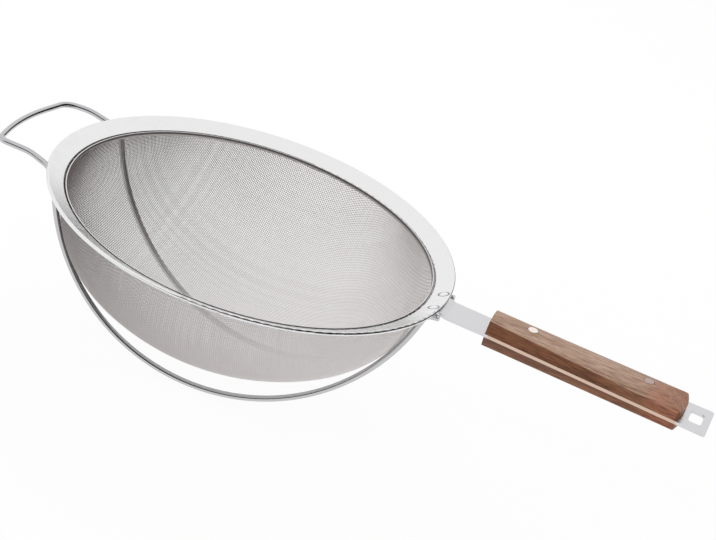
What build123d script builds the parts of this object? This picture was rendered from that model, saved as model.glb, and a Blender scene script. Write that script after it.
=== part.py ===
from build123d import *
import math
import os

# A round wire-cloth strainer. A dished sheet ring holds the cloth bowl, one bent wire makes
# the two guards under the bowl and the pan hook, and a flat tang carries two wooden scales.
# Working frame: centre of the rim, top of the rolled edge at height zero, handle along +X.

# Rim band
rim_outer_radius = 130.0
band_width = 10.7
band_drop = 4.4
band_sheet = 0.9
bead_radius = 1.1
collar_height = 3.3
collar_inset = 1.2
collar_bend_radius = 0.9

# Wire cloth and the ring that grips its edge
cloth_thickness = 0.6
cloth_grip_gap = 0.15
cloth_edge_drop = 0.6
bowl_depth = 90.0
bowl_side_radius = 64.0
mesh_columns = [24, 24, 24, 24, 12, 6]
mesh_bar_width = 6.0
mesh_hub_radius = 9.0
clamp_ring_thickness = 0.8
clamp_ring_height = 2.8
clamp_ring_drop = 0.5

# One bent wire: pan hook and both guards
wire_diameter = 3.9
weld_seat_gap = 0.25
guard_top_drop = 3.9
guard_foot_gap = 11.3
guard_end_gap = 1.4
guard_end_slope_angle = 72.7
guard_half_spacing = 33.3
guard_lean_angle = 4.0
guard_splay_angle = 7.9
guard_leg_top = 12.0
guard_bend_radius = 6.0
hook_near_leg_turn_in = 8.1
hook_far_leg_turn_in = 1.3
hook_waist_reach = 6.5
hook_near_waist_inset = 1.9
hook_far_waist_inset = 0.7
hook_waist_drop = 1.3
hook_drop = 0.9
hook_near_reach = 27.3
hook_far_reach = 21.8
hook_crown_reach = 32.3
hook_crown_offset = 4.0
hook_near_corner_inset = 0.3
hook_far_corner_inset = 4.8
hook_far_corner_radius = 12.0
hook_near_corner_radius = 5.0
hook_crown_radius = 150.0
hook_seat_radius = 12.0
hook_waist_radius = 30.0
wire_end_reach = 1.2
wire_end_drop = 4.1
wire_end_gap = 0.3

# Tang
tang_sheet = 2.0
tang_drop = 3.8
tang_seat_gap = 0.2
tang_root_start = 2.2
tang_knee_setback = 2.0
tang_root_half_width = 14.2
tang_root_corner_radius = 1.5
tang_step_length = 4.6
tang_bend_radius = 2.5
neck_half_width = 11.7
neck_fillet_radius = 2.0
tang_end_half_width = 16.1
tang_end_reach = 172.3
tang_end_corner_radius = 2.0
hanging_hole_length = 8.1
hanging_hole_width = 15.0
hanging_hole_corner_radius = 1.8
hanging_hole_end_wall = 4.7

# Rivets through band and tang
rim_rivet_head_radius = 2.8
rim_rivet_head_height = 0.9
rim_rivet_shank_radius = 1.6
rim_rivet_clearance = 0.1
rim_rivet_setback = 4.8
rim_rivet_half_spacing = 10.9
rim_rivet_head_gap = 0.05
rim_rivet_end_gap = 0.2

# Wooden scales
scale_front_reach = 29.4
scale_length = 126.6
scale_crown_height = 9.8
scale_front_side_height = 7.9
scale_rear_side_height = 4.9
scale_front_draft = 2.8
lower_scale_crown_height = 8.8
lower_scale_side_trim = 1.0
scale_rear_bulge = 3.2
scale_rear_corner_radius = 5.0
scale_nose_radius = 90.0
scale_nose_reach = 40.0
scale_nose_rise = 1.5
scale_edge_radius = 0.6

# Rivets through scales and tang
handle_rivet_head_radius = 3.3
handle_rivet_head_height = 1.6
handle_rivet_shank_radius = 2.2
handle_rivet_clearance = 0.1
handle_rivet_front_setback = 25.2
handle_rivet_spacing = 75.2
handle_rivet_proud = 0.1

# Allowance by which cutting tools pass the faces that they cut
cut_overrun = 5.0

band_inner_radius = rim_outer_radius - band_width
bead_centre_radius = rim_outer_radius - bead_radius
wire_radius = wire_diameter / 2


def band_slope():
    """Angle of the dished band above level, in radians."""
    run = bead_centre_radius - band_inner_radius
    rise = band_drop - bead_radius
    return math.atan2(rise, run) + math.asin(bead_radius / math.hypot(run, rise))


slope = band_slope()
collar_inner_radius = band_inner_radius - collar_inset
cloth_outer_radius = collar_inner_radius - cloth_grip_gap
cloth_inner_radius = cloth_outer_radius - cloth_thickness
cloth_middle_radius = (cloth_inner_radius + cloth_outer_radius) / 2
collar_bottom = -band_drop - collar_height
tang_half_sheet = tang_sheet / 2


def band_top(radius):
    """Height of the band's upper face at a radius."""
    return -band_drop + math.tan(slope) * (radius - band_inner_radius)


def band_underside(radius):
    return band_top(radius) - band_sheet / math.cos(slope)


def make_rim_band():
    """Rolled edge, dished band and the collar that hangs from its inner edge."""
    collar_outer_radius = collar_inner_radius + band_sheet
    bead_top = (
        bead_centre_radius - bead_radius * math.sin(slope),
        -bead_radius + bead_radius * math.cos(slope),
    )
    bead_under = (
        bead_top[0] + band_sheet * math.sin(slope),
        bead_top[1] - band_sheet * math.cos(slope),
    )
    strip = make_face(
        Polyline(
            (collar_inner_radius, collar_bottom),
            (collar_inner_radius, band_top(collar_inner_radius)),
            bead_top,
            bead_under,
            (collar_outer_radius, band_underside(collar_outer_radius)),
            (collar_outer_radius, collar_bottom),
            close=True,
        )
    )
    inner_bend = strip.vertices().sort_by_distance((collar_inner_radius, band_top(collar_inner_radius)))[0]
    strip = fillet(inner_bend, collar_bend_radius)
    bead = Pos(bead_centre_radius, -bead_radius) * Circle(bead_radius)
    ring = revolve(Plane.XZ * (strip + bead), Axis.Z)
    for side in (-1, 1):
        ring -= rim_rivet_frame(side) * Cylinder(
            rim_rivet_shank_radius + rim_rivet_clearance, 2 * cut_overrun
        )
    return ring


def rim_rivet_frame(side):
    """Frame on the band's upper face, its Z axis square to the dished sheet."""
    radius = rim_outer_radius - rim_rivet_setback
    angle = math.degrees(math.asin(side * rim_rivet_half_spacing / radius))
    return Rot(0, 0, angle) * Pos(radius, 0, band_top(radius)) * Rot(0, -math.degrees(slope), 0)


def make_rim_rivets():
    """Two round-headed rivets, peened flush below the tang."""
    shank_length = band_sheet + tang_seat_gap + tang_sheet - rim_rivet_end_gap
    dome_radius = (rim_rivet_head_radius**2 + rim_rivet_head_height**2) / (2 * rim_rivet_head_height)
    dome = Pos(0, 0, rim_rivet_head_height - dome_radius) * Sphere(dome_radius)
    head_blank = Cylinder(
        rim_rivet_head_radius, rim_rivet_head_height, align=(Align.CENTER, Align.CENTER, Align.MIN)
    )
    shank = Cylinder(
        rim_rivet_shank_radius,
        shank_length + rim_rivet_head_height / 2,
        align=(Align.CENTER, Align.CENTER, Align.MIN),
    )
    rivet = Pos(0, 0, rim_rivet_head_gap) * (dome & head_blank) + Pos(0, 0, -shank_length) * shank
    return [rim_rivet_frame(side) * rivet for side in (-1, 1)]


def bowl_arcs():
    """Reach of the side arc's centre, radius of the bottom arc, and the angle below level of their join."""
    depth = bowl_depth + collar_bottom
    side_centre = cloth_middle_radius - bowl_side_radius
    bottom_radius = (side_centre**2 + depth**2 - bowl_side_radius**2) / (2 * (depth - bowl_side_radius))
    return side_centre, bottom_radius, math.atan2(bottom_radius - depth, side_centre)


def bowl_outline(offset):
    """Half outline of the cloth, offset outward from its middle surface."""
    side_centre, bottom_radius, join_angle = bowl_arcs()
    side = bowl_side_radius + offset
    bottom = bottom_radius + offset
    bottom_centre = bottom_radius - bowl_depth

    def on_side(angle):
        return (side_centre + side * math.cos(angle), collar_bottom - side * math.sin(angle))

    def on_bottom(angle):
        return (bottom * math.cos(angle), bottom_centre - bottom * math.sin(angle))

    bottom_middle = on_bottom((join_angle + math.pi / 2) / 2)
    return [
        Line((cloth_middle_radius + offset, -band_drop - cloth_edge_drop), on_side(0)),
        ThreePointArc(on_side(0), on_side(join_angle / 2), on_side(join_angle)),
        ThreePointArc(on_side(join_angle), bottom_middle, (0, bottom_centre - bottom)),
    ]


def make_cloth_bowl():
    """The pressed wire cloth, drawn as a skin with a plain grid of openings in place of its fine mesh."""
    outer = bowl_outline(cloth_thickness / 2)
    inner = bowl_outline(-cloth_thickness / 2)
    section = make_face(
        [
            *outer,
            Line(outer[-1] @ 1, inner[-1] @ 1),
            *inner,
            Line(inner[0] @ 0, outer[0] @ 0),
        ]
    )
    return revolve(Plane.XZ * section, Axis.Z) - mesh_openings()


def bowl_station(length):
    """Point of the cloth's middle line at a length below the collar, and the outward direction there."""
    side_centre, bottom_radius, join_angle = bowl_arcs()
    side_length = bowl_side_radius * join_angle
    if length < side_length:
        angle = length / bowl_side_radius
        centre = (side_centre, collar_bottom)
        radius = bowl_side_radius
    else:
        angle = join_angle + (length - side_length) / bottom_radius
        centre = (0, bottom_radius - bowl_depth)
        radius = bottom_radius
    outward = (math.cos(angle), -math.sin(angle))
    return (centre[0] + radius * outward[0], centre[1] + radius * outward[1]), outward


def mesh_openings():
    """Cutting blocks of the grid: rings of openings, with fewer in a ring towards the bottom."""
    side_centre, bottom_radius, join_angle = bowl_arcs()
    slant_length = bowl_side_radius * join_angle + bottom_radius * (math.pi / 2 - join_angle)
    row_pitch = (slant_length - mesh_hub_radius) / len(mesh_columns)
    blocks = []
    for row, columns in enumerate(mesh_columns):
        corners = []
        for length, sides in ((row * row_pitch + mesh_bar_width, (1, -1)), ((row + 1) * row_pitch, (-1, 1))):
            point, outward = bowl_station(length)
            for side in sides:
                reach = side * cut_overrun
                corners.append((point[0] + reach * outward[0], point[1] + reach * outward[1]))
        row_radius = bowl_station((row + 1 / 2) * row_pitch + mesh_bar_width / 2)[0][0]
        open_angle = 360 / columns - math.degrees(mesh_bar_width / row_radius)
        block = revolve(Plane.XZ * make_face(Polyline(*corners, close=True)), Axis.Z, open_angle)
        blocks += [Rot(0, 0, column * 360 / columns - open_angle / 2) * block for column in range(columns)]
    return blocks


def make_clamp_ring():
    """Flat ring inside the cloth, which grips it against the collar."""
    outer = cloth_inner_radius - cloth_grip_gap
    top = -band_drop - clamp_ring_drop
    section = Pos(outer - clamp_ring_thickness / 2, top - clamp_ring_height / 2) * Rectangle(
        clamp_ring_thickness, clamp_ring_height
    )
    section = fillet(section.vertices().group_by(Axis.Y)[-1], clamp_ring_thickness / 4)
    return revolve(Plane.XZ * section, Axis.Z)


def guard_plane(side):
    """Plane of one guard: X towards the handle, Y up, leaning out below."""
    splay = math.radians(guard_splay_angle)
    lean = math.radians(guard_lean_angle)
    forward = Vector(math.cos(splay), -side * math.sin(splay), 0)
    outward = Vector(math.sin(splay), side * math.cos(splay), 0)
    up = outward * -math.sin(lean) + Vector(0, 0, math.cos(lean))
    return Plane(
        origin=(0, side * guard_half_spacing, -guard_top_drop), x_dir=forward, z_dir=forward.cross(up)
    )


def guard_foot():
    """Lowest point of a guard in its plane, level with the bowl's axis."""
    lean = math.radians(guard_lean_angle)
    fall = bowl_depth + cloth_thickness / 2 + guard_foot_gap + wire_radius - guard_top_drop
    return (guard_half_spacing * math.sin(math.radians(guard_splay_angle)), -fall / math.cos(lean))


def guard_top(end):
    """Point of a guard beside the top of the cloth, in the guard's plane."""
    reach = cloth_outer_radius + guard_end_gap + wire_radius
    beside = guard_half_spacing * math.cos(math.radians(guard_splay_angle))
    beside += guard_leg_top * math.sin(math.radians(guard_lean_angle))
    return (guard_foot()[0] + end * math.sqrt(reach**2 - beside**2), -guard_leg_top)


def guard_outline(end):
    """Points of the guard from its bottom arc to one end, in its plane, and its heading there.

    Two tangent arcs join the foot to the end, and they meet at the slope where the cloth's arcs meet.
    """
    join_angle = math.pi / 2 - bowl_arcs()[2]
    end_angle = math.radians(guard_end_slope_angle)
    foot = guard_foot()
    top = guard_top(end)
    across = abs(top[0] - foot[0])
    rise = top[1] - foot[1]
    join_sine = math.sin(join_angle)
    join_fall = 1 - math.cos(join_angle)
    sine_step = math.sin(end_angle) - join_sine
    cosine_step = math.cos(join_angle) - math.cos(end_angle)
    spread = join_sine * cosine_step - sine_step * join_fall
    bottom_radius = (across * cosine_step - rise * sine_step) / spread
    side_radius = (rise * join_sine - across * join_fall) / spread
    join = (foot[0] + end * bottom_radius * join_sine, foot[1] + bottom_radius * join_fall)
    middle_angle = (join_angle + end_angle) / 2
    middle = (
        join[0] + end * side_radius * (math.sin(middle_angle) - join_sine),
        join[1] + side_radius * (math.cos(join_angle) - math.cos(middle_angle)),
    )
    return join, middle, top, (end * math.cos(end_angle), math.sin(end_angle))


def guard_corner(plane, top, heading, height):
    """Point straight on from the guard's end, at a height of the working frame."""
    start = plane.from_local_coords((top[0], top[1], 0))
    ahead = plane.from_local_coords((top[0] + heading[0], top[1] + heading[1], 0)) - start
    return start + ahead * ((height - start.Z) / ahead.Z)


def wire_under_band(radius):
    """Height of the wire's centre line where it seats under the dished band."""
    return band_top(radius) - (band_sheet + weld_seat_gap + wire_radius) / math.cos(slope)


def make_cradle_wire():
    """Guard, pan hook and guard again, bent from one length of round wire."""
    bead_seat = -2 * bead_radius - weld_seat_gap - wire_radius
    hook_height = -hook_drop
    rim_reach = -rim_outer_radius
    turn_ins = {-1: hook_near_leg_turn_in, 1: hook_far_leg_turn_in}
    waist_insets = {-1: hook_near_waist_inset, 1: hook_far_waist_inset}
    corner_insets = {-1: hook_near_corner_inset, 1: hook_far_corner_inset}
    corner_reaches = {-1: hook_near_reach, 1: hook_far_reach}
    crown = (rim_reach - hook_crown_reach, -hook_crown_offset, hook_height)
    edges = []
    hook_points = []
    for side in (-1, 1):
        plane = guard_plane(side)
        join, middle, top, heading = guard_outline(-1)
        rear_join, rear_middle, rear_top, rear_heading = guard_outline(1)
        inner_seat = guard_corner(plane, top, heading, wire_under_band(cloth_outer_radius + 2 * wire_radius))
        leg_spacing = abs(inner_seat.Y) - turn_ins[side]
        rim_crossing = (-math.sqrt(bead_centre_radius**2 - leg_spacing**2), side * leg_spacing, bead_seat)
        waist = (rim_reach - hook_waist_reach, side * (leg_spacing - waist_insets[side]), -hook_waist_drop)
        corner = (
            rim_reach - corner_reaches[side],
            side * (leg_spacing - corner_insets[side]),
            hook_height,
        )
        leg = [plane.from_local_coords((*top, 0)), inner_seat, rim_crossing, waist, corner]
        hook_points += leg if side < 0 else [crown] + leg[::-1]
        rear_seat = guard_corner(
            plane, rear_top, rear_heading, wire_under_band(cloth_outer_radius + 3 * wire_radius)
        )
        wire_end = (
            rim_outer_radius + wire_end_reach,
            side * (tang_root_half_width + wire_end_gap + wire_radius),
            -wire_end_drop,
        )
        edges += [
            ThreePointArc(
                plane.from_local_coords((*join, 0)),
                plane.from_local_coords((*middle, 0)),
                plane.from_local_coords((*top, 0)),
            ),
            ThreePointArc(
                plane.from_local_coords((*join, 0)),
                plane.from_local_coords((*guard_foot(), 0)),
                plane.from_local_coords((*rear_join, 0)),
            ),
            ThreePointArc(
                plane.from_local_coords((*rear_join, 0)),
                plane.from_local_coords((*rear_middle, 0)),
                plane.from_local_coords((*rear_top, 0)),
            ),
            *FilletPolyline(
                plane.from_local_coords((*rear_top, 0)),
                rear_seat,
                wire_end,
                radius=guard_bend_radius,
            ).edges(),
        ]
    edges += FilletPolyline(
        *hook_points,
        radius=[
            guard_bend_radius,
            hook_seat_radius,
            hook_waist_radius,
            hook_near_corner_radius,
            hook_crown_radius,
            hook_far_corner_radius,
            hook_waist_radius,
            hook_seat_radius,
            guard_bend_radius,
        ],
    ).edges()
    path = Wire(edges)
    section = Plane(origin=path @ 0, z_dir=path % 0) * Circle(wire_radius)
    return sweep(section, path=path)


def tang_root_line():
    """Middle line of the tang from its root under the band to its end, in X and Z."""
    start = band_inner_radius + tang_root_start
    knee = bead_centre_radius - tang_knee_setback
    drop = tang_seat_gap + tang_half_sheet / math.cos(slope)
    under_bead = -2 * bead_radius - tang_seat_gap - tang_half_sheet
    return [
        (start, band_underside(start) - drop),
        (knee, band_underside(knee) - drop),
        (bead_centre_radius, under_bead - tang_seat_gap),
        (bead_centre_radius + tang_step_length, -tang_drop - tang_half_sheet),
        (rim_outer_radius + tang_end_reach, -tang_drop - tang_half_sheet),
    ]


def make_tang_outline():
    """Plan of the tang: wide root, neck, taper, rounded end and hanging hole."""
    root = band_inner_radius + tang_root_start
    shoulder = bead_centre_radius - tang_knee_setback + bead_radius
    scale_front = rim_outer_radius + scale_front_reach
    tang_end = rim_outer_radius + tang_end_reach
    half = FilletPolyline(
        (root, 0),
        (root, tang_root_half_width),
        (shoulder, tang_root_half_width),
        (shoulder, neck_half_width),
        (scale_front, neck_half_width),
        (tang_end, tang_end_half_width),
        (tang_end, 0),
        radius=[
            tang_root_corner_radius,
            tang_root_corner_radius,
            neck_fillet_radius,
            0,
            tang_end_corner_radius,
        ],
    )
    outline = make_face([*half.edges(), *mirror(half, about=Plane.XZ).edges()])
    hole_centre = tang_end - hanging_hole_end_wall - hanging_hole_length / 2
    hole = Pos(hole_centre, 0) * RectangleRounded(
        hanging_hole_length, hanging_hole_width, hanging_hole_corner_radius
    )
    return outline - hole


def make_tang():
    """Flat bar with a joggle that tucks its root under the dished band."""
    line = FilletPolyline(*tang_root_line(), radius=tang_bend_radius)
    bar = extrude(Plane.XZ * trace(line, tang_sheet), tang_end_half_width + cut_overrun, both=True)
    plan = extrude(Pos(0, 0, -tang_drop) * make_tang_outline(), tang_drop + cut_overrun, both=True)
    tang = bar & plan
    for side in (-1, 1):
        tang -= rim_rivet_frame(side) * Cylinder(
            rim_rivet_shank_radius + rim_rivet_clearance, 4 * cut_overrun
        )
    for centre in handle_rivet_places():
        tang -= Pos(centre, 0, -tang_drop) * Cylinder(
            handle_rivet_shank_radius + handle_rivet_clearance, 2 * cut_overrun
        )
    return tang


def scale_section(half_width, draft, side_height, crown_height):
    """Cross section of a scale standing on the tang: flat foot, sides and a crowned face."""
    top_half = half_width - draft
    section = make_face(
        [
            Line((-half_width, 0), (half_width, 0)),
            Line((half_width, 0), (top_half, side_height)),
            ThreePointArc((top_half, side_height), (0, crown_height), (-top_half, side_height)),
            Line((-top_half, side_height), (-half_width, 0)),
        ]
    )
    return fillet(section.vertices().group_by(Axis.Y)[-1], scale_edge_radius)


def scale_plan():
    """Plan of a scale: square front, rear end bowed and round at its corners."""
    front = rim_outer_radius + scale_front_reach
    rear = front + scale_length
    half = tang_end_half_width
    plan = make_face(
        [
            Line((rear - scale_rear_bulge, -half), (front, -half)),
            Line((front, -half), (front, half)),
            Line((front, half), (rear - scale_rear_bulge, half)),
            ThreePointArc((rear - scale_rear_bulge, half), (rear, 0), (rear - scale_rear_bulge, -half)),
        ]
    )
    return fillet(plan.vertices().group_by(Axis.X)[-1], scale_rear_corner_radius)


def scale_profile(crown_height, rear_height):
    """Block under the side view of a scale, whose top falls in an arc to its rear end."""
    front = rim_outer_radius + scale_front_reach
    rear = front + scale_length
    nose_start = (rear - scale_nose_reach, crown_height + scale_nose_rise)
    foot = -cut_overrun
    side_view = make_face(
        [
            Line((rear, foot), (front - cut_overrun, foot)),
            Line((front - cut_overrun, foot), (front - cut_overrun, nose_start[1])),
            Line((front - cut_overrun, nose_start[1]), nose_start),
            RadiusArc(nose_start, (rear, rear_height), scale_nose_radius),
            Line((rear, rear_height), (rear, foot)),
        ]
    )
    return extrude(Plane.XZ * side_view, tang_end_half_width + cut_overrun, both=True)


def make_scale(crown_height, side_trim):
    """One wooden scale, standing on the plane of height zero."""
    front = rim_outer_radius + scale_front_reach
    taper_share = scale_length / (tang_end_reach - scale_front_reach)
    rear_half = neck_half_width + taper_share * (tang_end_half_width - neck_half_width)
    front_section = scale_section(
        neck_half_width, scale_front_draft, scale_front_side_height - side_trim, crown_height
    )
    rear_section = scale_section(rear_half, 0, scale_rear_side_height - side_trim, crown_height)
    blank = loft(
        [
            Plane(origin=(front, 0, 0), x_dir=(0, 1, 0), z_dir=(1, 0, 0)) * front_section,
            Plane(origin=(front + scale_length, 0, 0), x_dir=(0, 1, 0), z_dir=(1, 0, 0)) * rear_section,
        ],
        ruled=True,
    )
    scale = blank & extrude(Pos(0, 0, -cut_overrun) * scale_plan(), crown_height + 2 * cut_overrun)
    scale &= scale_profile(crown_height, scale_rear_side_height - side_trim)
    head_seat = crown_height - handle_rivet_head_height + handle_rivet_proud
    for centre in handle_rivet_places():
        scale -= Pos(centre, 0, 0) * Cylinder(
            handle_rivet_shank_radius + handle_rivet_clearance, 2 * (crown_height + cut_overrun)
        )
        scale -= Pos(centre, 0, head_seat - handle_rivet_clearance) * Cylinder(
            handle_rivet_head_radius + handle_rivet_clearance,
            crown_height,
            align=(Align.CENTER, Align.CENTER, Align.MIN),
        )
    return scale


def make_upper_scale():
    return Pos(0, 0, -tang_drop) * make_scale(scale_crown_height, 0)


def make_lower_scale():
    scale = mirror(make_scale(lower_scale_crown_height, lower_scale_side_trim), about=Plane.XY)
    return Pos(0, 0, -tang_drop - tang_sheet) * scale


def handle_rivet_places():
    first = rim_outer_radius + scale_front_reach + handle_rivet_front_setback
    return [first, first + handle_rivet_spacing]


def make_handle_rivets():
    """Two rivets with a flush head at each face of the handle."""
    top = scale_crown_height + handle_rivet_proud
    bottom = -tang_sheet - lower_scale_crown_height - handle_rivet_proud
    rivet = Pos(0, 0, bottom) * Cylinder(
        handle_rivet_shank_radius, top - bottom, align=(Align.CENTER, Align.CENTER, Align.MIN)
    )
    head = Cylinder(
        handle_rivet_head_radius, handle_rivet_head_height, align=(Align.CENTER, Align.CENTER, Align.MIN)
    )
    rivet += Pos(0, 0, top - handle_rivet_head_height) * head
    rivet += Pos(0, 0, bottom) * head
    rim_edges = rivet.edges().filter_by(GeomType.CIRCLE).group_by(Axis.Z)
    rivet = fillet(rim_edges[0] + rim_edges[-1], handle_rivet_head_height / 4)
    return [Pos(centre, 0, -tang_drop) * rivet for centre in handle_rivet_places()]


pieces = {
    "rim_band": make_rim_band(),
    "cloth_bowl": make_cloth_bowl(),
    "cloth_clamp_ring": make_clamp_ring(),
    "cradle_wire": make_cradle_wire(),
    "handle_tang": make_tang(),
    "rim_rivets": Compound(children=make_rim_rivets()),
    "upper_scale": make_upper_scale(),
    "lower_scale": make_lower_scale(),
    "handle_rivets": Compound(children=make_handle_rivets()),
}

# The finished frame has its origin at the middle of the footprint, on the standing surface
boxes = [piece.bounding_box() for piece in pieces.values()]
hook_tip = min(box.min.X for box in boxes)
tang_tip = max(box.max.X for box in boxes)
foot = min(box.min.Z for box in boxes)
to_stand = Pos(-(hook_tip + tang_tip) / 2, 0, -foot)

os.makedirs("parts", exist_ok=True)
for name, piece in pieces.items():
    export_step(to_stand * piece, f"parts/{name}.step")
    print(name, "volume", round(piece.volume), "valid", piece.is_valid)
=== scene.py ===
import bpy
import math
from mathutils import Matrix, Vector


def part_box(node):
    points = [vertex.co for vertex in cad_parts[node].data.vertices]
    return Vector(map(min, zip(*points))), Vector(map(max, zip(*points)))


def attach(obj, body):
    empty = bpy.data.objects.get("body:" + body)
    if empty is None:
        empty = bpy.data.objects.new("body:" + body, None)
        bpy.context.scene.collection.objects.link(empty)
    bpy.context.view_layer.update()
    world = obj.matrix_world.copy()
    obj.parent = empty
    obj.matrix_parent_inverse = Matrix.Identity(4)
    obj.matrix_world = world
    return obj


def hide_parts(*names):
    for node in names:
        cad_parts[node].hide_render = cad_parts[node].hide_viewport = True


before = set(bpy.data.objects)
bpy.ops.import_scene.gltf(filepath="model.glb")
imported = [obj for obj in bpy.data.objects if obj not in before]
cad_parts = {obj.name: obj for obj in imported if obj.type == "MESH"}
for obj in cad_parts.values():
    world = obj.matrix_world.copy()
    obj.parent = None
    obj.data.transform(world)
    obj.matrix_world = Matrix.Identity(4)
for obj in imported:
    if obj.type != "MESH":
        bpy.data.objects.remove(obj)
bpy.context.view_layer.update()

mm = 0.001
rimLow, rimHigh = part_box("rim_band")
rimCentre = Vector(((rimLow[0] + rimHigh[0]) / 2, 0, rimHigh[2]))  # on the bowl's axis, at the top of the rim
scaleFront, scaleRear = [corner[0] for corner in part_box("upper_scale")]


# Node and colour helpers

def hexColour(code):
    channels = [int(code[i:i + 2], 16) / 255 for i in (1, 3, 5)]
    linear = [c / 12.92 if c <= 0.04045 else ((c + 0.055) / 1.055) ** 2.4 for c in channels]
    return (*linear, 1.0)


def setInputs(tree, node, inputs):
    # Sockets are linked and plain values are set
    for key, value in inputs.items():
        if isinstance(value, bpy.types.NodeSocket):
            tree.links.new(value, node.inputs[key])
        else:
            node.inputs[key].default_value = value


def addNode(tree, kind, settings=None, inputs=None, stops=None):
    node = tree.nodes.new(kind)
    for key, value in (settings or {}).items():
        setattr(node, key, value)
    setInputs(tree, node, inputs or {})
    for number, (place, colour) in enumerate(stops or []):
        if number > 1:
            node.color_ramp.elements.new(place)
        node.color_ramp.elements[number].position = place
        node.color_ramp.elements[number].color = hexColour(colour)
    return node


def newMaterial(name):
    material = bpy.data.materials.new(name)
    material.use_nodes = True
    tree = material.node_tree
    place = addNode(tree, "ShaderNodeTexCoord").outputs["Object"]
    return material, tree, tree.nodes["Principled BSDF"], place


# Materials

noiseSpan = {"From Min": 0.3, "From Max": 0.7}  # nearly all values of a noise texture lie between these

polishedSettings = {
    "colour": "#f0f0f0",
    "rivetShadeColour": "#8a8a8e",
    "roughness": (0.18, 0.3),
    "buffingRing": 0.35 * mm,
    "cloud": 9 * mm,
    "cloudShare": 1.5,  # of the relief, against 1 for the rings
    "rivetHead": 2.8 * mm,  # radius
    "rivetShadeRing": (2.9 * mm, 3.7 * mm),  # from a rivet's middle: a ring of painted shade that stands in for the shadow under the head, a little wider than real so that it shows
}


def makePolishedStainless():
    # Spun and polished stainless sheet: near mirror, with faint rings left by the buffing wheel,
    # and painted shade in a dark ring round each rivet head
    values = polishedSettings
    material, tree, shader, place = newMaterial("polishedStainless")
    flat = addNode(tree, "ShaderNodeVectorMath", {"operation": "MULTIPLY_ADD"},
                   {0: place, 1: (1, 1, 0), 2: (-rimCentre.x, 0, 0)}).outputs["Vector"]
    radius = addNode(tree, "ShaderNodeVectorMath", {"operation": "LENGTH"}, {0: flat}).outputs["Value"]
    rings = addNode(tree, "ShaderNodeTexNoise", {"noise_dimensions": "1D"},
                    {"W": radius, "Scale": 1 / values["buffingRing"], "Detail": 2.0}).outputs["Fac"]
    clouds = addNode(tree, "ShaderNodeTexNoise", {},
                     {"Vector": place, "Scale": 1 / values["cloud"], "Detail": 3.0}).outputs["Fac"]
    rough = addNode(tree, "ShaderNodeMapRange", {},
                    {"Value": clouds, **noiseSpan,
                     "To Min": values["roughness"][0], "To Max": values["roughness"][1]}).outputs["Result"]
    rivetLow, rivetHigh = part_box("rim_rivets")
    toRivet = (-(rivetLow[0] + rivetHigh[0]) / 2, values["rivetHead"] - rivetHigh[1], 0)
    folded = addNode(tree, "ShaderNodeVectorMath", {"operation": "ABSOLUTE"},  # lays one rivet on the other
                     {0: place}).outputs["Vector"]
    offset = addNode(tree, "ShaderNodeVectorMath", {"operation": "MULTIPLY_ADD"},
                     {0: folded, 1: (1, 1, 0), 2: toRivet}).outputs["Vector"]
    fromRivet = addNode(tree, "ShaderNodeVectorMath", {"operation": "LENGTH"}, {0: offset}).outputs["Value"]
    # Painted shade: the band darkens in a ring round each rivet head
    outsideRivetShade = addNode(tree, "ShaderNodeMapRange", {},
                    {"Value": fromRivet, "From Min": values["rivetShadeRing"][0],
                     "From Max": values["rivetShadeRing"][1]}).outputs["Result"]
    tint = addNode(tree, "ShaderNodeValToRGB", {}, {"Fac": outsideRivetShade},
                   [(0.4, values["rivetShadeColour"]), (1.0, values["colour"])]).outputs["Color"]
    relief = addNode(tree, "ShaderNodeMath", {"operation": "MULTIPLY_ADD"},
                     {0: clouds, 1: values["cloudShare"], 2: rings}).outputs["Value"]
    bump = addNode(tree, "ShaderNodeBump", {},
                   {"Height": relief, "Strength": 0.04, "Distance": 0.1 * mm}).outputs["Normal"]
    setInputs(tree, shader, {"Base Color": tint, "Metallic": 1.0, "Roughness": rough, "Normal": bump})
    return material


headedSettings = {
    "colour": "#f0f0f2",
    "roughness": (0.1, 0.2),
    "punchMark": 0.8 * mm,
}


def makeHeadedSteel():
    # Cold headed stainless rivet: the punch leaves the dome glossier than the buffed band
    values = headedSettings
    material, tree, shader, place = newMaterial("coldHeadedStainless")
    marks = addNode(tree, "ShaderNodeTexNoise", {},
                    {"Vector": place, "Scale": 1 / values["punchMark"], "Detail": 2.0}).outputs["Fac"]
    rough = addNode(tree, "ShaderNodeMapRange", {},
                    {"Value": marks, **noiseSpan,
                     "To Min": values["roughness"][0], "To Max": values["roughness"][1]}).outputs["Result"]
    setInputs(tree, shader, {"Base Color": hexColour(values["colour"]), "Metallic": 1.0, "Roughness": rough})
    return material


stripSettings = {
    "highlightColour": "#e2e0e0",
    "lowerColour": "#cdc9c8",
    "shadeColour": "#706d6c",
    "shadeFrom": (0.46, 0.58),  # share of the strip's height, none to full
    "shadeEdgeWobble": 6 * mm,
    "shadeEdgeWobbleShare": 0.16,  # of the height, by which a noise shifts the edge of the painted shade
    "roughness": 0.42,
}


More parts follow.
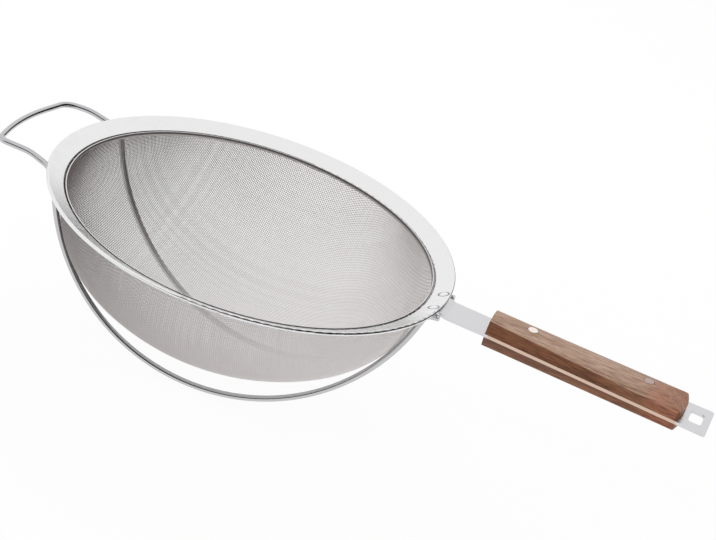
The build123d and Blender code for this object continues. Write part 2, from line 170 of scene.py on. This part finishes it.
def makeDullStrip():
    # Unpolished steel strip: the upper half of its inside is painted dark, painted shade that reads as the
    # dark line under the band's inner edge; its top edge is painted lighter as a painted highlight, and its
    # lower half keeps its plain colour
    values = stripSettings
    material, tree, shader, place = newMaterial("unpolishedSteelStrip")
    wobble = addNode(tree, "ShaderNodeTexNoise", {},
                     {"Vector": place, "Scale": 1 / values["shadeEdgeWobble"], "Detail": 3.0}).outputs["Fac"]
    ringLow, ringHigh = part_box("cloth_clamp_ring")
    height = addNode(tree, "ShaderNodeSeparateXYZ", {}, {"Vector": place}).outputs["Z"]
    share = addNode(tree, "ShaderNodeMapRange", {},
                    {"Value": height, "From Min": ringLow[2], "From Max": ringHigh[2]}).outputs["Result"]
    uneven = addNode(tree, "ShaderNodeMath", {"operation": "MULTIPLY_ADD"},
                     {0: wobble, 1: values["shadeEdgeWobbleShare"], 2: share}).outputs["Value"]
    # Painted shade: the upper half of the inside takes the dark colour
    inside = addNode(tree, "ShaderNodeValToRGB", {}, {"Fac": uneven},
                     [(values["shadeFrom"][0], values["lowerColour"]),
                      (values["shadeFrom"][1], values["shadeColour"])]).outputs["Color"]
    normal = addNode(tree, "ShaderNodeNewGeometry").outputs["Normal"]
    upward = addNode(tree, "ShaderNodeSeparateXYZ", {}, {"Vector": normal}).outputs["Z"]
    # Painted highlight: faces that look up take the lighter top colour
    onTop = addNode(tree, "ShaderNodeMapRange", {},
                    {"Value": upward, "From Min": 0.4, "From Max": 0.8}).outputs["Result"]
    tint = addNode(tree, "ShaderNodeMix", {"data_type": "RGBA"},
                   {0: onTop, 6: inside, 7: hexColour(values["highlightColour"])}).outputs[2]
    setInputs(tree, shader, {"Base Color": tint, "Metallic": 1.0, "Roughness": values["roughness"]})
    return material


drawnSettings = {
    "colour": "#c4c4c6",
    "roughness": (0.06, 0.16),
    "mottle": 4 * mm,
}


def makeDrawnWire():
    # Cold drawn stainless wire: bright but greyer than the buffed band, with a mottle that softens the glints
    values = drawnSettings
    material, tree, shader, place = newMaterial("drawnStainlessWire")
    mottle = addNode(tree, "ShaderNodeTexNoise", {},
                     {"Vector": place, "Scale": 1 / values["mottle"], "Detail": 4.0}).outputs["Fac"]
    rough = addNode(tree, "ShaderNodeMapRange", {},
                    {"Value": mottle, **noiseSpan,
                     "To Min": values["roughness"][0], "To Max": values["roughness"][1]}).outputs["Result"]
    setInputs(tree, shader, {"Base Color": hexColour(values["colour"]), "Metallic": 1.0, "Roughness": rough})
    return material


satinSettings = {
    "colour": "#dcdcde",
    "oiledColour": "#d9bfae",
    "oiledFrom": (1 * mm, 3 * mm),  # from the scales' ends, none to full
    "roughness": (0.24, 0.4),
    "brushLine": (25 * mm, 0.3 * mm),  # length and width, wider than real so that the lines show
}


def makeSatinStainless():
    # Stamped stainless strip with a satin finish brushed along the handle, its sides warmed by the wood's oil
    values = satinSettings
    material, tree, shader, place = newMaterial("satinStainless")
    lineLength, lineWidth = values["brushLine"]
    stretched = addNode(tree, "ShaderNodeMapping", {},
                        {"Vector": place, "Scale": (1 / lineLength, 1 / lineWidth, 1 / lineWidth)})
    lines = addNode(tree, "ShaderNodeTexNoise", {},
                    {"Vector": stretched.outputs["Vector"], "Scale": 1.0, "Detail": 3.0}).outputs["Fac"]
    rough = addNode(tree, "ShaderNodeMapRange", {},
                    {"Value": lines, **noiseSpan,
                     "To Min": values["roughness"][0], "To Max": values["roughness"][1]}).outputs["Result"]
    normal = addNode(tree, "ShaderNodeNewGeometry").outputs["Normal"]
    folded = addNode(tree, "ShaderNodeVectorMath", {"operation": "ABSOLUTE"}, {0: normal}).outputs["Vector"]
    sideways = addNode(tree, "ShaderNodeSeparateXYZ", {}, {"Vector": folded}).outputs["Y"]
    onSide = addNode(tree, "ShaderNodeMapRange", {},
                     {"Value": sideways, "From Min": 0.5, "From Max": 0.9}).outputs["Result"]
    along = addNode(tree, "ShaderNodeSeparateXYZ", {}, {"Vector": place}).outputs["X"]
    middle, half = (scaleFront + scaleRear) / 2, (scaleRear - scaleFront) / 2
    away = addNode(tree, "ShaderNodeMath", {"operation": "SUBTRACT"}, {0: along, 1: middle}).outputs["Value"]
    away = addNode(tree, "ShaderNodeMath", {"operation": "ABSOLUTE"}, {0: away}).outputs["Value"]
    underWood = addNode(tree, "ShaderNodeMapRange", {},
                        {"Value": away, "From Min": half - values["oiledFrom"][1],
                         "From Max": half - values["oiledFrom"][0],
                         "To Min": 1.0, "To Max": 0.0}).outputs["Result"]
    oiled = addNode(tree, "ShaderNodeMath", {"operation": "MULTIPLY"},
                    {0: onSide, 1: underWood}).outputs["Value"]
    tint = addNode(tree, "ShaderNodeMix", {"data_type": "RGBA"},
                   {0: oiled, 6: hexColour(values["colour"]), 7: hexColour(values["oiledColour"])}).outputs[2]
    bump = addNode(tree, "ShaderNodeBump", {},
                   {"Height": lines, "Strength": 0.15, "Distance": 0.05 * mm}).outputs["Normal"]
    setInputs(tree, shader, {"Base Color": tint, "Metallic": 1.0, "Roughness": rough, "Normal": bump})
    return material


walnutSettings = {
    "sideColours": [(0.3, "#6a3e22"), (0.5, "#855334"), (0.7, "#9a6a48")],
    "sheenColours": [(0.3, "#aa8871"), (0.5, "#bb9983"), (0.7, "#c6a894")],
    "rearShadeColour": "#ab6748",
    "rearShadeFrom": (28 * mm, 18 * mm),  # from the rear end, none to full
    "rearShadeShare": 0.55,
    "poreColours": [(0.36, "#a89488"), (0.56, "#ffffff")],
    "poreShare": 0.9,
    "figure": (60 * mm, 5 * mm),  # along and across the grain
    "pore": (9 * mm, 0.5 * mm),  # length and width, about twice as wide as real so that they show
    "roughness": 0.45,
}


def makeOiledWalnut():
    # Oiled walnut: long pores along the grain; the crowned faces are painted paler than the sides as a
    # painted sheen, and the rear end is painted redder, painted shade where the top slopes down to it
    values = walnutSettings
    material, tree, shader, place = newMaterial("oiledWalnut")
    bandLength, bandWidth = values["figure"]
    bands = addNode(tree, "ShaderNodeMapping", {},
                    {"Vector": place, "Scale": (1 / bandLength, 1 / bandWidth, 1 / bandWidth)})
    figure = addNode(tree, "ShaderNodeTexNoise", {},
                     {"Vector": bands.outputs["Vector"], "Scale": 1.0, "Detail": 3.0,
                      "Distortion": 0.4}).outputs["Fac"]
    poreLength, poreWidth = values["pore"]
    thin = addNode(tree, "ShaderNodeMapping", {},
                   {"Vector": place, "Scale": (1 / poreLength, 1 / poreWidth, 1 / poreWidth)})
    pores = addNode(tree, "ShaderNodeTexNoise", {},
                    {"Vector": thin.outputs["Vector"], "Scale": 1.0, "Detail": 3.0}).outputs["Fac"]
    sides = addNode(tree, "ShaderNodeValToRGB", {}, {"Fac": figure}, values["sideColours"])
    sheen = addNode(tree, "ShaderNodeValToRGB", {}, {"Fac": figure}, values["sheenColours"])
    normal = addNode(tree, "ShaderNodeNewGeometry").outputs["Normal"]
    upward = addNode(tree, "ShaderNodeSeparateXYZ", {}, {"Vector": normal}).outputs["Z"]
    # Painted sheen: faces that look up take the paler colours
    onTop = addNode(tree, "ShaderNodeMapRange", {},
                    {"Value": upward, "From Min": 0.6, "From Max": 0.9}).outputs["Result"]
    ground = addNode(tree, "ShaderNodeMix", {"data_type": "RGBA"},
                     {0: onTop, 6: sides.outputs["Color"], 7: sheen.outputs["Color"]}).outputs[2]
    along = addNode(tree, "ShaderNodeSeparateXYZ", {}, {"Vector": place}).outputs["X"]
    # Painted shade: the rear end is mixed towards a redder colour
    atRear = addNode(tree, "ShaderNodeMapRange", {},
                     {"Value": along, "From Min": scaleRear - values["rearShadeFrom"][0],
                      "From Max": scaleRear - values["rearShadeFrom"][1],
                      "To Max": values["rearShadeShare"]}).outputs["Result"]
    ground = addNode(tree, "ShaderNodeMix", {"data_type": "RGBA"},
                     {0: atRear, 6: ground, 7: hexColour(values["rearShadeColour"])}).outputs[2]
    streaks = addNode(tree, "ShaderNodeValToRGB", {}, {"Fac": pores}, values["poreColours"]).outputs["Color"]
    wood = addNode(tree, "ShaderNodeMix", {"data_type": "RGBA", "blend_type": "MULTIPLY"},
                   {0: values["poreShare"], 6: ground, 7: streaks}).outputs[2]
    bump = addNode(tree, "ShaderNodeBump", {},
                   {"Height": pores, "Strength": 0.25, "Distance": 0.08 * mm}).outputs["Normal"]
    setInputs(tree, shader, {"Base Color": wood, "Roughness": values["roughness"], "IOR": 1.5,
                             "Normal": bump})
    return material


aluminiumSettings = {
    "colour": "#fbf1ea",
    "tarnishedColour": "#bba79e",
    "tarnishedFrom": (60 * mm, 50 * mm),  # from the scales' rear end, none to full, between the two rivets
    "grit": 0.25 * mm,
    "roughness": 0.3,
}


def makeRivetAluminium():
    # Aluminium rivet, headed cold and sanded flush with the wood, the rear one tarnished by the palm
    values = aluminiumSettings
    material, tree, shader, place = newMaterial("sandedAluminium")
    grit = addNode(tree, "ShaderNodeTexNoise", {},
                   {"Vector": place, "Scale": 1 / values["grit"], "Detail": 2.0}).outputs["Fac"]
    along = addNode(tree, "ShaderNodeSeparateXYZ", {}, {"Vector": place}).outputs["X"]
    toRear = addNode(tree, "ShaderNodeMapRange", {},
                     {"Value": along, "From Min": scaleRear - values["tarnishedFrom"][0],
                      "From Max": scaleRear - values["tarnishedFrom"][1]}).outputs["Result"]
    tint = addNode(tree, "ShaderNodeValToRGB", {}, {"Fac": toRear},
                   [(0.0, values["colour"]), (1.0, values["tarnishedColour"])]).outputs["Color"]
    bump = addNode(tree, "ShaderNodeBump", {},
                   {"Height": grit, "Strength": 0.15, "Distance": 0.05 * mm}).outputs["Normal"]
    setInputs(tree, shader, {"Base Color": tint, "Metallic": 1.0, "Roughness": values["roughness"],
                             "Normal": bump})
    return material


oiledWalnut = makeOiledWalnut()
finishes = {
    "rim_band": makePolishedStainless(),
    "cloth_clamp_ring": makeDullStrip(),
    "rim_rivets": makeHeadedSteel(),
    "cradle_wire": makeDrawnWire(),
    "handle_tang": makeSatinStainless(),
    "upper_scale": oiledWalnut,
    "lower_scale": oiledWalnut,
    "handle_rivets": makeRivetAluminium(),
}
for nodeName, material in finishes.items():
    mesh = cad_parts[nodeName].data
    mesh.materials.clear()
    mesh.materials.append(material)
print("materials ready")


# Woven cloth of the bowl

clothSettings = {
    "pitch": 1.27 * mm,  # 20 wires to the inch
    "wireThickness": 0.42 * mm,
    "wireSides": 4,  # more would not show on so thin a wire
    "rimRadius": 117.65 * mm,
    "sideRadius": 64.0 * mm,
    "depth": 90.0 * mm,  # below the top of the rim, as the next two are
    "collarDrop": 7.7 * mm,  # where the side bends into the upright collar
    "edgeDrop": 5.2 * mm,  # where the cloth ends
    "parts": 3,  # pieces for each direction of the weave
    "colours": [(0.06, "#928b89"), (0.28, "#c6c1c0"), (0.5, "#dad5d4"), (1.0, "#f4f0ef")],  # hook to handle
    "patch": 22 * mm,
    "patchShare": 0.1,  # of the bowl's width, by which patches shift the colours
    "metallic": 0.75,
    "roughness": 0.5,
}


def makeClothWire():
    # Annealed stainless cloth wire: its thin oxide film scatters light, so it is duller and pinker than the
    # bent wire, and its colour runs darker towards the hook and lighter towards the handle
    values = clothSettings
    material, tree, shader, place = newMaterial("annealedClothWire")
    patches = addNode(tree, "ShaderNodeTexNoise", {},
                      {"Vector": place, "Scale": 1 / values["patch"], "Detail": 2.0}).outputs["Fac"]
    along = addNode(tree, "ShaderNodeSeparateXYZ", {}, {"Vector": place}).outputs["X"]
    fromHook = addNode(tree, "ShaderNodeMapRange", {},
                       {"Value": along, "From Min": rimCentre.x - values["rimRadius"],
                        "From Max": rimCentre.x + values["rimRadius"]}).outputs["Result"]
    uneven = addNode(tree, "ShaderNodeMath", {"operation": "MULTIPLY_ADD"},
                     {0: patches, 1: values["patchShare"], 2: fromHook}).outputs["Value"]
    tint = addNode(tree, "ShaderNodeValToRGB", {}, {"Fac": uneven}, values["colours"]).outputs["Color"]
    setInputs(tree, shader, {"Base Color": tint, "Metallic": values["metallic"],
                             "Roughness": values["roughness"]})
    return material


class ClothForm:
    # Meridian of the pressed bowl, by length from its lowest point: a bottom arc, a side arc and the collar
    def __init__(self, settings):
        self.rim = settings["rimRadius"]
        self.side = settings["sideRadius"]
        self.start = -settings["collarDrop"]
        depth = settings["depth"] + self.start
        self.sideCentre = self.rim - self.side
        self.bottom = (self.sideCentre ** 2 + depth ** 2 - self.side ** 2) / (2 * (depth - self.side))
        self.bottomCentre = self.start - depth + self.bottom
        self.join = math.atan2(self.sideCentre, self.bottom - depth)
        self.bottomLength = self.bottom * self.join
        self.sideLength = self.side * (math.pi / 2 - self.join)

    def meridian(self, length):
        # Radius, height and slope
        if length < self.bottomLength:
            angle = length / self.bottom
            radius = self.bottom * math.sin(angle)
            return (radius, self.bottomCentre - self.bottom * math.cos(angle), angle)
        length -= self.bottomLength
        if length < self.sideLength:
            angle = self.join + length / self.side
            radius = self.sideCentre + self.side * math.sin(angle)
            return (radius, self.start - self.side * math.cos(angle), angle)
        return (self.rim, self.start + length - self.sideLength, math.pi / 2)

    def point(self, length, turn):
        radius, height, _ = self.meridian(length)
        return Vector((radius * math.cos(turn), radius * math.sin(turn), height))

    def normal(self, length, turn):
        slope = self.meridian(length)[2]
        return Vector((math.sin(slope) * math.cos(turn), math.sin(slope) * math.sin(turn), -math.cos(slope)))


netSettings = {
    "collarReach": 8 * mm,  # how far up the collar the net is tried
    "tries": 12,
    "nudge": 1e-6,  # for the slopes of the search
    "settled": 1e-8,  # metres
    "tolerance": 1e-6,  # metres
    "degenerate": 1e-14,
}


def placeCrossing(form, pitch, a, b, length, turn):
    # Search from a first guess for the point one link away from both neighbours a and b
    nudge = netSettings["nudge"]
    for attempt in range(netSettings["tries"]):
        p = form.point(length, turn)
        errors = ((p - a).length - pitch, (p - b).length - pitch)
        if max(abs(errors[0]), abs(errors[1])) < netSettings["settled"]:
            break
        alongLength = form.point(length + nudge, turn) - p
        alongTurn = form.point(length, turn + nudge) - p
        ua, ub = (p - a).normalized(), (p - b).normalized()
        m00, m01 = ua.dot(alongLength) / nudge, ua.dot(alongTurn) / nudge
        m10, m11 = ub.dot(alongLength) / nudge, ub.dot(alongTurn) / nudge
        det = m00 * m11 - m01 * m10
        if abs(det) < netSettings["degenerate"]:
            break
        length -= (errors[0] * m11 - errors[1] * m01) / det
        turn -= (m00 * errors[1] - m10 * errors[0]) / det
    return length, turn, max(abs(errors[0]), abs(errors[1]))


def netCrossings(form, pitch, edgeHeight):
    # One quarter of a net of equal links that drapes the bowl, found link by link
    reach = form.bottomLength + form.sideLength + netSettings["collarReach"]
    count = int(reach / pitch) + 1
    found = {}
    for i in range(count):
        if form.meridian(i * pitch)[1] > edgeHeight + pitch:
            break
        found[(i, 0)] = (i * pitch, 0.0)
        found[(0, i)] = (i * pitch, math.pi / 2)
    for total in range(2, 2 * count):
        for i in range(1, total // 2 + 1):
            j = total - i
            if (i - 1, j) not in found or (i, j - 1) not in found:
                continue
            left, below, back = found[(i - 1, j)], found[(i, j - 1)], found[(i - 1, j - 1)]
            length = left[0] + below[0] - back[0]
            turn = (left[1] + below[1]) / 2 if i == j else left[1] + below[1] - back[1]
            a, b = form.point(*left), form.point(*below)
            length, turn, error = placeCrossing(form, pitch, a, b, length, turn)
            if error > netSettings["tolerance"] or form.meridian(length)[1] > edgeHeight + pitch:
                continue
            found[(i, j)] = (length, turn)
            found[(j, i)] = (length, math.pi / 2 - turn)
    return found


def weaveThreads(form, settings):
    # Warp and weft run along the net and pass over and under each other at its crossings
    pitch = settings["pitch"]
    edgeHeight = -settings["edgeDrop"]
    quarter = netCrossings(form, pitch, edgeHeight)
    crossings = {}
    for (i, j), (length, turn) in quarter.items():
        if form.meridian(length)[1] > edgeHeight:
            continue
        for a in (1, -1):
            for b in (1, -1):
                around = math.atan2(b * math.sin(turn), a * math.cos(turn))
                crossings[(a * i, b * j)] = (form.point(length, around), form.normal(length, around))
    half = settings["wireThickness"] / 2
    print("cloth crossings", len(crossings))
    threads = {"warp": [], "weft": []}
    span = max(i for i, j in crossings)
    for fixed in range(-span, span + 1):
        for kind in threads:
            overTurn = 0 if kind == "warp" else 1
            line = []
            for moving in range(-span, span + 1):
                key = (fixed, moving) if kind == "warp" else (moving, fixed)
                if key not in crossings:
                    continue
                point, normal = crossings[key]
                over = 1 if (key[0] + key[1]) % 2 == overTurn else -1
                line.append(rimCentre + point + normal * (over * half))
            if len(line) > 2:
                threads[kind].append(line)
    return threads


def tubeTree(name, material):
    # Geometry nodes: every run of edges becomes a wire
    tree = bpy.data.node_groups.new(name, "GeometryNodeTree")
    tree.interface.new_socket("Geometry", in_out="INPUT", socket_type="NodeSocketGeometry")
    tree.interface.new_socket("Radius", in_out="INPUT", socket_type="NodeSocketFloat")
    tree.interface.new_socket("Sides", in_out="INPUT", socket_type="NodeSocketInt")
    tree.interface.new_socket("Geometry", in_out="OUTPUT", socket_type="NodeSocketGeometry")
    source = addNode(tree, "NodeGroupInput").outputs
    curve = addNode(tree, "GeometryNodeMeshToCurve", inputs={"Mesh": source["Geometry"]})
    ring = addNode(tree, "GeometryNodeCurvePrimitiveCircle",
                   inputs={"Resolution": source["Sides"], "Radius": source["Radius"]})
    tube = addNode(tree, "GeometryNodeCurveToMesh",
                   inputs={"Curve": curve.outputs["Curve"], "Profile Curve": ring.outputs["Curve"],
                           "Fill Caps": True})
    smooth = addNode(tree, "GeometryNodeSetShadeSmooth", inputs={"Geometry": tube.outputs["Mesh"]})
    real = addNode(tree, "GeometryNodeRealizeInstances", inputs={"Geometry": smooth.outputs["Geometry"]})
    painted = addNode(tree, "GeometryNodeSetMaterial",
                      inputs={"Geometry": real.outputs["Geometry"], "Material": material})
    addNode(tree, "NodeGroupOutput", inputs={"Geometry": painted.outputs["Geometry"]})
    return tree


def setInput(modifier, name, value):
    for item in modifier.node_group.interface.items_tree:
        if item.item_type == "SOCKET" and item.in_out == "INPUT" and item.name == name:
            modifier[item.identifier] = value


def applyTree(name, lines, tree, values):
    # Run a node tree over guide lines, keep the mesh it gives and drop the modifier
    points, edges = [], []
    for line in lines:
        first = len(points)
        points.extend(line)
        edges.extend((k, k + 1) for k in range(first, len(points) - 1))
    guideMesh = bpy.data.meshes.new(name + "Guide")
    guideMesh.from_pydata(points, edges, [])
    guide = bpy.data.objects.new(name + "Guide", guideMesh)
    bpy.context.scene.collection.objects.link(guide)
    modifier = guide.modifiers.new("wires", "NODES")
    modifier.node_group = tree
    for key, value in values.items():
        setInput(modifier, key, value)
    evaluated = guide.evaluated_get(bpy.context.evaluated_depsgraph_get())
    mesh = bpy.data.meshes.new_from_object(evaluated)
    guide.modifiers.remove(modifier)
    bpy.data.objects.remove(guide)
    bpy.data.meshes.remove(guideMesh)
    piece = bpy.data.objects.new(name, mesh)
    mesh.name = name
    bpy.context.scene.collection.objects.link(piece)
    return piece


def makeCloth():
    # Each direction of the weave is cut into pieces with about as many crossings each
    form = ClothForm(clothSettings)
    threads = weaveThreads(form, clothSettings)
    tree = tubeTree("clothWires", makeClothWire())
    parts = clothSettings["parts"]
    for kind, lines in threads.items():
        share = sum(len(line) for line in lines) / parts
        groups = [[] for part in range(parts)]
        passed = 0
        for line in lines:
            groups[min(int(passed / share), parts - 1)].append(line)
            passed += len(line)
        for number, group in enumerate(groups, 1):
            piece = applyTree(f"cloth_{kind}_{number}", group, tree, {
                "Radius": clothSettings["wireThickness"] / 2, "Sides": clothSettings["wireSides"]})
            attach(piece, "root")
            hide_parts("cloth_bowl")
            print(piece.name, "triangles", sum(len(face.vertices) - 2 for face in piece.data.polygons))


makeCloth()
print("cloth woven")


# Floor, light and camera

floorSettings = {
    "size": 6.0,
    "colour": "#fafafa",
    "glow": 0.93,  # share of plain white that the camera and reflections see, the rest shows the shadow
}


def makeFloor():
    # Paper that is near white to the camera and in reflections, and still takes the part's shadow
    material = bpy.data.materials.new("paperFloor")
    material.use_nodes = True
    tree = material.node_tree
    tree.nodes.clear()
    rays = addNode(tree, "ShaderNodeLightPath").outputs
    seen = addNode(tree, "ShaderNodeMath", {"operation": "MAXIMUM"},
                   {0: rays["Is Camera Ray"], 1: rays["Is Glossy Ray"]}).outputs["Value"]
    seen = addNode(tree, "ShaderNodeMath", {"operation": "MAXIMUM"},
                   {0: seen, 1: rays["Is Transmission Ray"]}).outputs["Value"]
    part = addNode(tree, "ShaderNodeMath", {"operation": "MULTIPLY"},
                   {0: seen, 1: floorSettings["glow"]}).outputs["Value"]
    paper = addNode(tree, "ShaderNodeBsdfDiffuse", {}, {"Color": hexColour(floorSettings["colour"])})
    glow = addNode(tree, "ShaderNodeEmission", {}, {"Color": (1, 1, 1, 1), "Strength": 1.0})
    mix = addNode(tree, "ShaderNodeMixShader", {},
                  {0: part, 1: paper.outputs["BSDF"], 2: glow.outputs["Emission"]})
    addNode(tree, "ShaderNodeOutputMaterial", {}, {"Surface": mix.outputs["Shader"]})
    half = floorSettings["size"] / 2
    corners = [(-half, -half, 0), (half, -half, 0), (half, half, 0), (-half, half, 0)]
    mesh = bpy.data.meshes.new("floor")
    mesh.from_pydata(corners, [], [(0, 1, 2, 3)])
    mesh.materials.append(material)
    floor = bpy.data.objects.new("floor", mesh)
    bpy.context.scene.collection.objects.link(floor)


lampSettings = {
    "keyLight": {"place": (-0.35, 0.75, 1.05), "size": (0.9, 0.7), "power": 7.0},
    "fillLight": {"place": (-0.3, -0.9, 0.8), "size": (0.6, 0.6), "power": 3.0},
}
lampTarget = Vector((0, 0, 0.06))  # middle of the part


def makeLamps():
    for name, values in lampSettings.items():
        lamp = bpy.data.lights.new(name, "AREA")
        lamp.shape = "RECTANGLE"
        lamp.size, lamp.size_y = values["size"]
        lamp.energy = values["power"]
        light = bpy.data.objects.new(name, lamp)
        light.location = values["place"]
        light.rotation_euler = (lampTarget - light.location).to_track_quat("-Z", "Y").to_euler()
        light.visible_glossy = False  # metal mirrors the tent, not the lamps
        bpy.context.scene.collection.objects.link(light)


worldSettings = {
    "tentAxis": (-0.56, 0.2, 0.8),
    "tentColours": [(0.0, "#0c0c0e"), (0.22, "#2c2c2f"), (0.3, "#c8c8ca"), (0.38, "#fafafa")],  # up the axis
    "skyForDiffuse": 0.56,
}


def makeWorld():
    # Reflections see a white tent over a dark skirt, so bright metal gets thin dark lines. The skirt stands
    # highest on the handle side and the near side, and lowest towards the hook and the back
    world = bpy.data.worlds.new("studio")
    bpy.context.scene.world = world
    world.use_nodes = True
    tree = world.node_tree
    tree.nodes.clear()
    rays = addNode(tree, "ShaderNodeLightPath").outputs
    direction = addNode(tree, "ShaderNodeTexCoord").outputs["Generated"]
    height = addNode(tree, "ShaderNodeVectorMath", {"operation": "DOT_PRODUCT"},
                     {0: direction, 1: worldSettings["tentAxis"]}).outputs["Value"]
    tent = addNode(tree, "ShaderNodeValToRGB", {}, {"Fac": height}, worldSettings["tentColours"])
    room = addNode(tree, "ShaderNodeBackground", {}, {"Color": tent.outputs["Color"], "Strength": 1.0})
    sky = addNode(tree, "ShaderNodeBackground", {},
                  {"Color": (1, 1, 1, 1), "Strength": worldSettings["skyForDiffuse"]})
    white = addNode(tree, "ShaderNodeBackground", {}, {"Color": (1, 1, 1, 1), "Strength": 1.0})
    lit = addNode(tree, "ShaderNodeMixShader", {},
                  {0: rays["Is Glossy Ray"], 1: sky.outputs["Background"], 2: room.outputs["Background"]})
    mix = addNode(tree, "ShaderNodeMixShader", {},
                  {0: rays["Is Camera Ray"], 1: lit.outputs["Shader"], 2: white.outputs["Background"]})
    addNode(tree, "ShaderNodeOutputWorld", {}, {"Surface": mix.outputs["Shader"]})


cameraSettings = {
    "azimuth": math.radians(13.906),  # from the near side towards the handle
    "elevation": math.radians(25.68),
    "roll": -0.3079,  # radians, because the strainer was photographed leaning on its handle
    "distance": 1352 * mm,  # from the rim's centre
    "focalPixels": 2200.4,
    "pan": (-103.25, 52.93),  # rim's centre from the picture's middle, right and up in pixels
    "pictureWidth": 716,  # pixels
    "sensorWidth": 36,  # millimetres, as the focal length that Blender asks for
    "clipEnd": 50,
}


def makeCamera():
    values = cameraSettings
    azimuth, elevation, roll = values["azimuth"], values["elevation"], values["roll"]
    focal = values["focalPixels"]
    back = Vector((math.sin(azimuth) * math.cos(elevation), -math.cos(azimuth) * math.cos(elevation),
                   math.sin(elevation)))
    ahead = -back
    right = ahead.cross(Vector((0, 0, 1))).normalized()
    up = right.cross(ahead)
    level = Matrix((right, up, ahead))
    c, s = math.cos(roll), math.sin(roll)
    turned = Matrix(((c, -s, 0), (s, c, 0), (0, 0, 1))) @ level
    goal = Vector((*values["pan"], focal)).normalized()
    axis = Vector((0, 0, 1)).cross(goal)
    pan = Matrix.Rotation(math.asin(axis.length), 3, axis.normalized())
    rows = pan @ turned
    lens = bpy.data.cameras.new("camera")
    lens.sensor_width = values["sensorWidth"]
    lens.lens = focal / values["pictureWidth"] * values["sensorWidth"]
    lens.clip_end = values["clipEnd"]
    camera = bpy.data.objects.new("camera", lens)
    pose = Matrix((rows[0], rows[1], -rows[2])).transposed().to_4x4()
    pose.translation = rimCentre + back * values["distance"]
    camera.matrix_world = pose
    bpy.context.scene.collection.objects.link(camera)
    bpy.context.scene.camera = camera


makeFloor()
makeLamps()
makeWorld()
makeCamera()
bpy.context.scene.view_settings.view_transform = "Standard"
print("stage ready")
